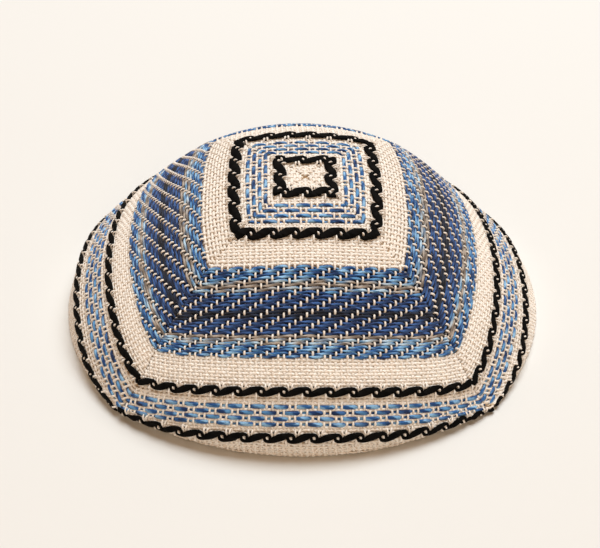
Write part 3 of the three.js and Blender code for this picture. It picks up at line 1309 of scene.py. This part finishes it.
@dataclass(frozen=True)
class TwoPlyCotton:
    """Soft two-ply cotton yarn: matt, with slanting plies that catch the light and a fine fuzz."""

    name: str
    roughness: float
    sheen: float
    ply_pitch: float
    groove: float
    fibre: float
    gloss: float

    def material(self) -> bpy.types.Material:
        """Builds the yarn's material.

        Returns:
            The material. Its colours come from the yarns' own two plies.
        """
        material = bpy.data.materials.new(self.name)
        material.use_nodes = True
        tree = material.node_tree
        tree.nodes.clear()
        uv = add_node(tree, "ShaderNodeUVMap", {"uv_map": "yarn"}, {})
        parts = add_node(tree, "ShaderNodeSeparateXYZ", {}, {0: uv.outputs[0]})
        length = add_node(
            tree,
            "ShaderNodeMath",
            {"operation": "MULTIPLY", 1: 2 * math.pi / self.ply_pitch},
            {0: parts.outputs[0]},
        )
        turn = add_node(
            tree, "ShaderNodeMath", {"operation": "MULTIPLY", 1: 2 * math.pi}, {0: parts.outputs[1]}
        )
        phase = add_node(
            tree, "ShaderNodeMath", {"operation": "ADD"}, {0: length.outputs[0], 1: turn.outputs[0]}
        )
        strand = add_node(tree, "ShaderNodeMath", {"operation": "SINE"}, {0: phase.outputs[0]})
        groove = add_node(tree, "ShaderNodeMath", {"operation": "ABSOLUTE"}, {0: strand.outputs[0]})
        # Clumps of fibre, drawn coarser than real fibres are so that they show.
        where = add_node(tree, "ShaderNodeTexCoord", {}, {})
        fibres = add_node(
            tree,
            "ShaderNodeTexNoise",
            {"Scale": 1 / (FIBRE_CLUMP * MILLIMETRE), "Detail": 3.0, "Roughness": 0.6},
            {"Vector": where.outputs["Object"]},
        )
        # Where the dye took unevenly, streaks run along the yarn; on the dyed yarns their light and dark
        # plies are also painted highlight and shade.
        stretched = add_node(
            tree,
            "ShaderNodeVectorMath",
            {"operation": "MULTIPLY", 1: (1 / STREAK_LENGTH, STREAKS_ROUND, 1.0)},
            {0: uv.outputs[0]},
        )
        streaks = add_node(
            tree,
            "ShaderNodeTexNoise",
            {"Scale": 1.0, "Detail": 2.0, "Roughness": 0.6},
            {"Vector": stretched.outputs[0]},
        )
        uneven = add_node(
            tree,
            "ShaderNodeMath",
            {"operation": "MULTIPLY_ADD", 1: 5.0},
            {0: streaks.outputs[0], 2: strand.outputs[0]},
        )
        share = add_node(
            tree,
            "ShaderNodeMapRange",
            {"interpolation_type": "SMOOTHSTEP", "From Min": 1.9, "From Max": 3.1},
            {"Value": uneven.outputs[0]},
        )
        tone = add_node(tree, "ShaderNodeVertexColor", {"layer_name": "tone"}, {})
        ply = add_node(tree, "ShaderNodeVertexColor", {"layer_name": "ply"}, {})
        mixed = add_node(
            tree,
            "ShaderNodeMix",
            {"data_type": "RGBA"},
            {"Factor": share.outputs[0], 6: tone.outputs[0], 7: ply.outputs[0]},
        )
        shade = add_node(
            tree,
            "ShaderNodeMapRange",
            {"From Min": 0.3, "From Max": 0.7, "To Min": 1 - self.fibre, "To Max": 1 + self.fibre},
            {"Value": fibres.outputs[0]},
        )
        scaled = add_node(
            tree,
            "ShaderNodeVectorMath",
            {"operation": "SCALE"},
            {0: mixed.outputs[2], "Scale": shade.outputs[0]},
        )
        relief = add_node(
            tree,
            "ShaderNodeMath",
            {"operation": "MULTIPLY_ADD", 1: 0.35},
            {0: fibres.outputs[0], 2: groove.outputs[0]},
        )
        bump = add_node(
            tree,
            "ShaderNodeBump",
            {"Strength": self.groove, "Distance": PLY_RELIEF * MILLIMETRE},
            {"Height": relief.outputs[0]},
        )
        surface = add_node(
            tree,
            "ShaderNodeBsdfPrincipled",
            {
                "Roughness": self.roughness,
                "IOR": 1.53,
                "Specular IOR Level": self.gloss,
                "Sheen Weight": self.sheen,
                "Sheen Roughness": 0.6,
            },
            {"Base Color": scaled.outputs[0], "Normal": bump.outputs[0]},
        )
        add_node(tree, "ShaderNodeOutputMaterial", {}, {"Surface": surface.outputs[0]})
        return material


@dataclass(frozen=True)
class PackedCotton:
    """Cotton cloth seen through its own yarns, toned there as painted shade, or from inside: matt, with
    the weave's small pits.
    """

    name: str

    def material(self) -> bpy.types.Material:
        """Builds the cloth's material.

        Returns:
            The material. Its colours come from the sheet's own corner points.
        """
        material = bpy.data.materials.new(self.name)
        material.use_nodes = True
        tree = material.node_tree
        tree.nodes.clear()
        tone = add_node(tree, "ShaderNodeVertexColor", {"layer_name": "tone"}, {})
        uv = add_node(tree, "ShaderNodeUVMap", {"uv_map": "cloth"}, {})
        parts = add_node(tree, "ShaderNodeSeparateXYZ", {}, {0: uv.outputs[0]})
        waves = []
        for output in (0, 1):
            angle = add_node(
                tree, "ShaderNodeMath", {"operation": "MULTIPLY", 1: math.pi}, {0: parts.outputs[output]}
            )
            waves.append(add_node(tree, "ShaderNodeMath", {"operation": "SINE"}, {0: angle.outputs[0]}))
        crossing = add_node(
            tree,
            "ShaderNodeMath",
            {"operation": "MULTIPLY"},
            {0: waves[0].outputs[0], 1: waves[1].outputs[0]},
        )
        where = add_node(tree, "ShaderNodeTexCoord", {}, {})
        # Matted fibre lies in small tufts.
        fibres = add_node(
            tree,
            "ShaderNodeTexNoise",
            {"Scale": 1 / (FIBRE_TUFT * MILLIMETRE), "Detail": 4.0},
            {"Vector": where.outputs["Object"]},
        )
        relief = add_node(
            tree,
            "ShaderNodeMath",
            {"operation": "MULTIPLY_ADD", 1: 0.5},
            {0: fibres.outputs[0], 2: crossing.outputs[0]},
        )
        bump = add_node(
            tree,
            "ShaderNodeBump",
            {"Strength": 0.8, "Distance": WEAVE_RELIEF * MILLIMETRE},
            {"Height": relief.outputs[0]},
        )
        shade = add_node(
            tree,
            "ShaderNodeMapRange",
            {"From Min": 0.3, "From Max": 0.7, "To Min": 0.9, "To Max": 1.06},
            {"Value": fibres.outputs[0]},
        )
        scaled = add_node(
            tree,
            "ShaderNodeVectorMath",
            {"operation": "SCALE"},
            {0: tone.outputs[0], "Scale": shade.outputs[0]},
        )
        surface = add_node(
            tree,
            "ShaderNodeBsdfPrincipled",
            {"Roughness": 0.95, "IOR": 1.53, "Specular IOR Level": 0.2, "Sheen Weight": 0.2},
            {"Base Color": scaled.outputs[0], "Normal": bump.outputs[0]},
        )
        add_node(tree, "ShaderNodeOutputMaterial", {}, {"Surface": surface.outputs[0]})
        return material


@dataclass
class Studio:
    """The pale floor, the soft light and the camera at the photograph's angle."""

    elevation: float = math.radians(37.12)
    azimuth: float = math.radians(1.11)
    distance: float = 406.0
    lens: float = 70.68
    aim: tuple[float, float, float] = (-0.95, -10.2, 15.7)

    def build(self) -> None:
        """Builds the floor, the lights and the camera."""
        self.floor()
        self.camera()
        self.light("sky_softbox", size=1.6, place=(0.26, 0.75, 2.00), power=53.5, tint="#fafeff")
        self.light("front_softbox", size=0.5, place=(0.10, -1.2, 0.62), power=3.2, tint="#ffe8cc")
        world = bpy.data.worlds.new("studio_air")
        bpy.context.scene.world = world
        world.use_nodes = True
        background = world.node_tree.nodes["Background"]
        background.inputs["Color"].default_value = rgba("#ffc48b")
        background.inputs["Strength"].default_value = 0.26
        bpy.context.scene.view_settings.view_transform = "Standard"

    def floor(self) -> None:
        """Builds the plain pale floor."""
        half = 12.0
        corners = np.array([[-half, -half, 0], [half, -half, 0], [half, half, 0], [-half, half, 0]])
        mesh = mesh_of("floor", corners, [np.array([[0, 1, 2, 3]])], {})
        material = bpy.data.materials.new("pale_paper_backdrop")
        material.use_nodes = True
        surface = material.node_tree.nodes["Principled BSDF"]
        surface.inputs["Base Color"].default_value = rgba("#e5e7e6")
        surface.inputs["Roughness"].default_value = 0.9
        mesh.materials.append(material)
        floor = bpy.data.objects.new("floor", mesh)
        bpy.context.scene.collection.objects.link(floor)

    def camera(self) -> None:
        """Sets the camera that the photograph was taken from."""
        data = bpy.data.cameras.new("camera")
        data.lens = self.lens
        data.sensor_width = 36.0
        camera = bpy.data.objects.new("camera", data)
        bpy.context.scene.collection.objects.link(camera)
        cos = math.cos(self.elevation)
        ahead = (math.sin(self.azimuth) * cos, math.cos(self.azimuth) * cos, -math.sin(self.elevation))
        forward = Vector(ahead)
        camera.location = (Vector(self.aim) - forward * self.distance) * MILLIMETRE
        camera.rotation_mode = "QUATERNION"
        camera.rotation_quaternion = forward.to_track_quat("-Z", "Y")
        data.clip_start = 0.01
        data.clip_end = 20.0
        bpy.context.scene.camera = camera

    def light(
        self, name: str, size: float, place: tuple[float, float, float], power: float, tint: str
    ) -> None:
        """Adds a square soft light that faces the cap.

        Args:
            name: the light's name.
            size: side of the square in metres.
            place: position in metres.
            power: watts.
            tint: the light's sRGB hex colour.
        """
        data = bpy.data.lights.new(name, "AREA")
        data.size = size
        data.energy = power
        data.color = rgba(tint)[:3]
        lamp = bpy.data.objects.new(name, data)
        bpy.context.scene.collection.objects.link(lamp)
        lamp.location = place
        lamp.rotation_mode = "QUATERNION"
        lamp.rotation_quaternion = (-Vector(place)).to_track_quat("-Z", "Y")


@dataclass
class Skullcap:
    """The whole cap: four gores that meet at the crown."""

    box: tuple[Vector, Vector]
    gores: list[Gore] = field(init=False)

    def __post_init__(self) -> None:
        """Sizes the form from the CAD model's box and makes the gores."""
        low, high = (np.array(corner) / MILLIMETRE for corner in self.box)
        half_width = float(high[0] - low[0]) * RIM_WIDTH_OF_BOX / 2
        crown_height = float(high[2] - low[2]) * CROWN_HEIGHT_OF_BOX
        shift = self.centred(half_width, crown_height, (low + high) / 2)
        # Name, turn, whether the cloth was turned upside down, pattern's first warp, and seed
        layout = (
            ("front_gore", 0.0, False, 1, 11),
            ("right_gore", math.pi / 2, True, 2, 23),
            ("back_gore", math.pi, False, 0, 37),
            ("left_gore", -math.pi / 2, True, 3, 41),
        )
        self.gores = [Gore(*values, half_width, crown_height, shift) for values in layout]

    def centred(self, half_width: float, crown_height: float, middle: Array) -> Array:
        """Finds the shift that puts the form's rim on the middle of the box.

        Args:
            half_width: half the rim's width.
            crown_height: the crown's height.
            middle: the middle of the CAD model's box.

        Returns:
            The shift in millimetres.
        """
        across = np.linspace(-1, 1, 201)
        place = np.linspace(6, LAST, 60)[:, None]
        faces = []
        for turn in (0.0, math.pi / 2, math.pi, -math.pi / 2):
            form = GoreForm(turn, half_width, crown_height, np.zeros(3))
            faces.append(form.outer_face(place + 0 * across, across + 0 * place).reshape(-1, 3))
        points = np.concatenate(faces)
        own = (points.min(0) + points.max(0)) / 2
        return np.array([middle[0] - own[0], middle[1] - own[1], 0.0])

    def build(self) -> None:
        """Builds and dresses every gore."""
        # Undyed spun cotton: warm cream, matt, with a soft edge of fuzz.
        undyed = TwoPlyCotton(
            name="undyed_two_ply_cotton",
            roughness=0.92,
            sheen=0.3,
            ply_pitch=2.2,
            groove=0.4,
            fibre=0.05,
            gloss=0.25,
        ).material()
        # Vat-dyed spun cotton: matt blue and grey, whose uneven dye and painted highlight and shade show
        # as slanting flecks.
        dyed = TwoPlyCotton(
            name="vat_dyed_two_ply_cotton_with_painted_highlights",
            roughness=0.85,
            sheen=0.12,
            ply_pitch=6.0,
            groove=0.6,
            fibre=0.16,
            gloss=0.25,
        ).material()
        # Black-dyed soft cord: the deepest matt black, with hardly a highlight on its plies.
        black = TwoPlyCotton(
            name="black_dyed_cotton_cord",
            roughness=0.85,
            sheen=0.0,
            ply_pitch=5.0,
            groove=0.8,
            fibre=0.25,
            gloss=0.08,
        ).material()
        # Packed cotton cloth: matt, with tan and dark navy painted shade between the yarns, and pitted
        # like a weave on the inside.
        packed = PackedCotton(name="packed_cotton_and_painted_gap_shade").material()
        for gore in self.gores:
            meshes = gore.build_yarns()
            woven = [
                self.place(mesh, material, gore.name)
                for mesh, material in zip(meshes, (undyed, undyed, dyed, black))
            ]
            cloth = self.place(gore.build_cloth(), packed, gore.name)
            width, length, area = gore.flat_size()
            LOG.info("%s is cut %.1f by %.1f mm, %.0f square mm", gore.name, width, length, area)

    def place(self, mesh: bpy.types.Mesh, material: bpy.types.Material, node: str) -> bpy.types.Object:
        """Puts a mesh in the scene as a piece of the cap.

        Args:
            mesh: the piece's mesh.
            material: its finish.
            node: the CAD node that it stands for.

        Returns:
            The object.
        """
        mesh.materials.append(material)
        piece = bpy.data.objects.new(mesh.name, mesh)
        bpy.context.scene.collection.objects.link(piece)
        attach(piece, "root")
        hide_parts(node)
        triangles = sum(len(polygon.vertices) - 2 for polygon in mesh.polygons)
        LOG.info("%s: %d triangles", piece.name, triangles)
        return piece


def main() -> None:
    """Builds the cap and the studio round it."""
    logging.basicConfig(level=logging.INFO, format="%(name)s: %(message)s")
    Skullcap(CAD_BOX).build()
    Studio().build()


if __name__ == "__main__":
    main()
